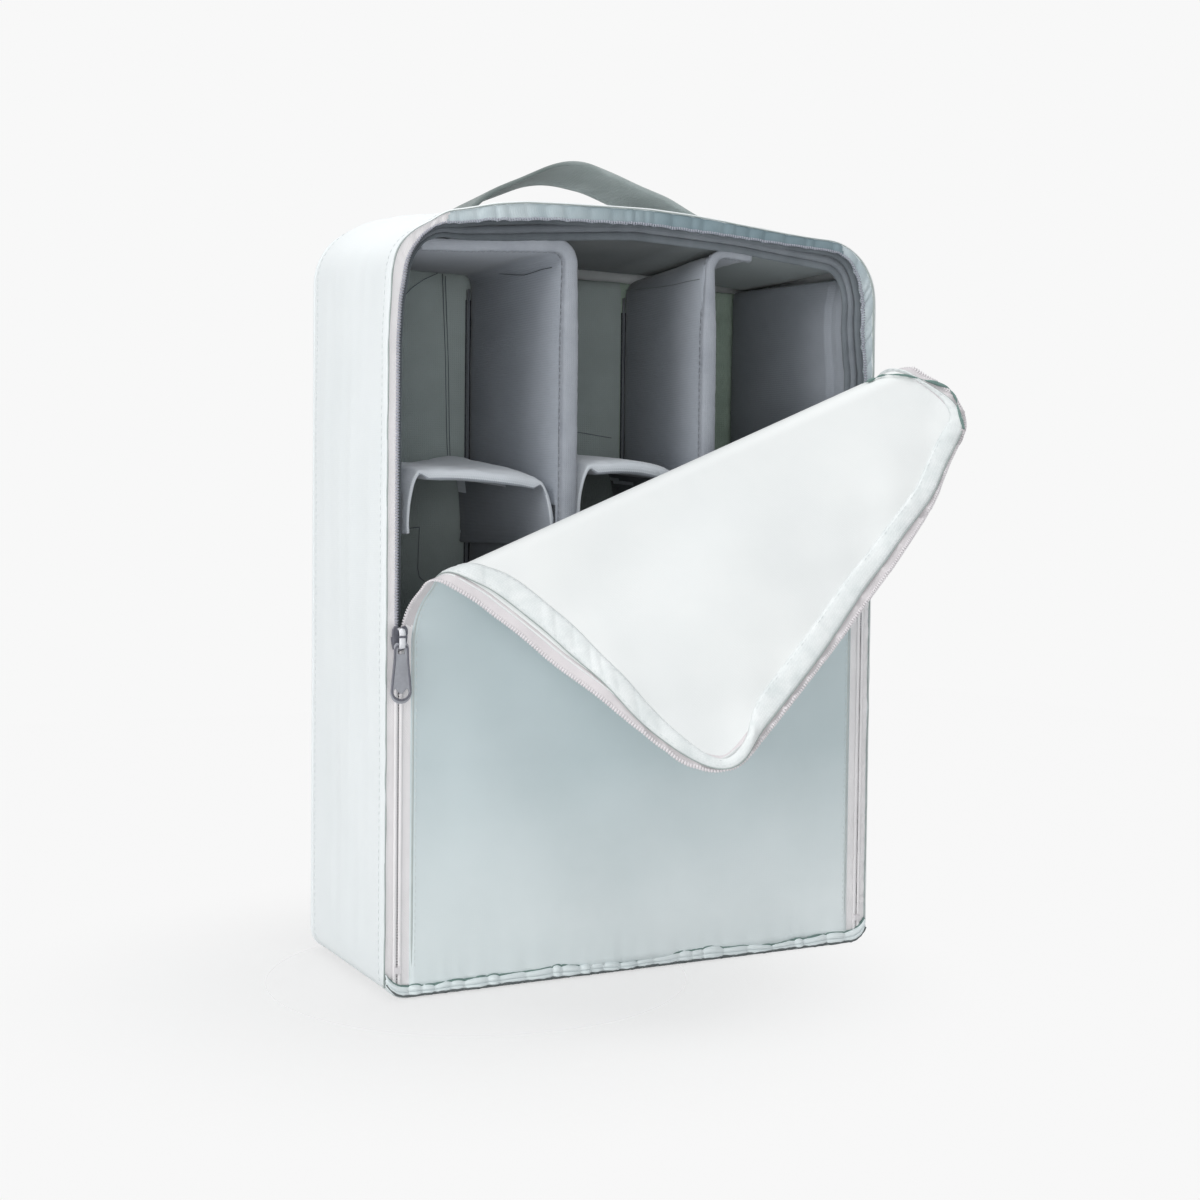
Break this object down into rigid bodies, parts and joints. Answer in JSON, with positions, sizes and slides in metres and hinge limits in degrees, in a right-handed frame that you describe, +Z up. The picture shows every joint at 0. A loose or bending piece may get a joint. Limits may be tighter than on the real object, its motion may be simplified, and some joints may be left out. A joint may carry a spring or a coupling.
{
  "type": "camera bag insert",
  "caption": "Upright padded insert case with a divided open front, a zipped front flap folded down on the diagonal, and a webbing carry handle on top.",
  "frame": {"origin": "centre of the case's base, on the surface that it stands on", "axes": "+Z up, the open front faces -Y, the flat back faces +Y, +X is to the right seen from the front"},
  "size_m": [0.2977, 0.2155, 0.4149],
  "materials": {
    "cover_fabric": "coated pale mint fabric, slight sheen",
    "flap_fabric": "coated pale mint fabric, slight sheen",
    "zip_tape": "woven tape, matte",
    "zip_coil": "nylon coil",
    "zip_metal": "grey, satin",
    "lining": "brushed loop fabric, matte",
    "foam": "closed-cell foam board, matte",
    "hook_tape": "hook tape, matte",
    "webbing": "woven webbing, matte"
  },
  "bodies": {
    "case": {"cover_gusset": "cover_fabric", "cover_back": "cover_fabric", "cover_base": "cover_fabric", "front_sill": "cover_fabric", "foam_left": "foam", "foam_right": "foam", "foam_top": "foam", "foam_base": "foam", "foam_back": "foam", "foam_wedge": "foam", "lining_left": "lining", "lining_right": "lining", "lining_top": "lining", "lining_base": "lining", "lining_back": "lining", "lining_binding": "lining", "case_tape": "zip_tape", "case_coil": "zip_coil", "flap_tape_left": "zip_tape", "flap_coil_left": "zip_coil", "flap_tape_right": "zip_tape", "flap_coil_right": "zip_coil", "zip_stop_left": "zip_metal", "zip_stop_right": "zip_metal", "flap_lower": "flap_fabric", "flap_crease": "flap_fabric", "flap_edge_left": "zip_tape", "flap_edge_right": "zip_tape", "divider_left": "lining", "divider_right": "lining", "hook_strip_left": "hook_tape", "hook_strip_right": "hook_tape", "handle_end_left": "webbing", "handle_end_right": "webbing", "handle_anchor_left": "webbing", "handle_anchor_right": "webbing"},
    "folded_flap": {"flap_upper": "flap_fabric", "flap_tape_upper": "zip_tape", "flap_coil_upper": "zip_coil"},
    "left_slider": {"slider_left": "zip_metal"},
    "left_pull": {"pull_left": "zip_metal"},
    "right_slider": {"slider_right": "zip_metal"},
    "right_pull": {"pull_right": "zip_metal"},
    "left_shelf": {"shelf_left": "lining", "shelf_left_tab_left": "lining", "shelf_left_tab_right": "lining", "shelf_left_hook_left": "hook_tape", "shelf_left_hook_right": "hook_tape"},
    "middle_shelf": {"shelf_middle": "lining", "shelf_middle_tab_left": "lining", "shelf_middle_tab_right": "lining", "shelf_middle_hook_left": "hook_tape", "shelf_middle_hook_right": "hook_tape"},
    "carry_handle": {"handle": "webbing"}
  },
  "joints": [
    {"name": "flap_fold", "type": "hinge", "parent": "case", "child": "folded_flap", "pos_m": [0, -0.06782, 0.25519], "axis": [-0.9175, 0.0148, -0.3974], "range_deg": [0, 146], "deforming": ["flap_crease", "flap_edge_left", "flap_edge_right"]},
    {"name": "left_slider_travel", "type": "slide", "parent": "case", "child": "left_slider", "axis": [0, 0, 1], "range_m": [-0.149, 0]},
    {"name": "left_pull_swing", "type": "hinge", "parent": "left_slider", "child": "left_pull", "pos_m": [-0.1331, -0.0598, 0.1687], "axis": [-1, 0, 0], "range_deg": [0, 105]},
    {"name": "right_slider_travel", "type": "slide", "parent": "case", "child": "right_slider", "axis": [0, 0, 1], "range_m": [-0.204, 0.02]},
    {"name": "right_pull_swing", "type": "hinge", "parent": "right_slider", "child": "right_pull", "pos_m": [0.1331, -0.0598, 0.2237], "axis": [-1, 0, 0], "range_deg": [0, 160]},
    {"name": "left_shelf_travel", "type": "slide", "parent": "case", "child": "left_shelf", "axis": [0, 0, 1], "range_m": [-0.19, 0.085]},
    {"name": "middle_shelf_travel", "type": "slide", "parent": "case", "child": "middle_shelf", "axis": [0, 0, 1], "range_m": [-0.19, 0.085]},
    {"name": "handle_swing", "type": "hinge", "parent": "case", "child": "carry_handle", "pos_m": [-0.004, 0, 0.3839], "axis": [1, 0, 0], "range_deg": [-30, 30], "deforming": ["handle_end_left", "handle_end_right"]}
  ]
}
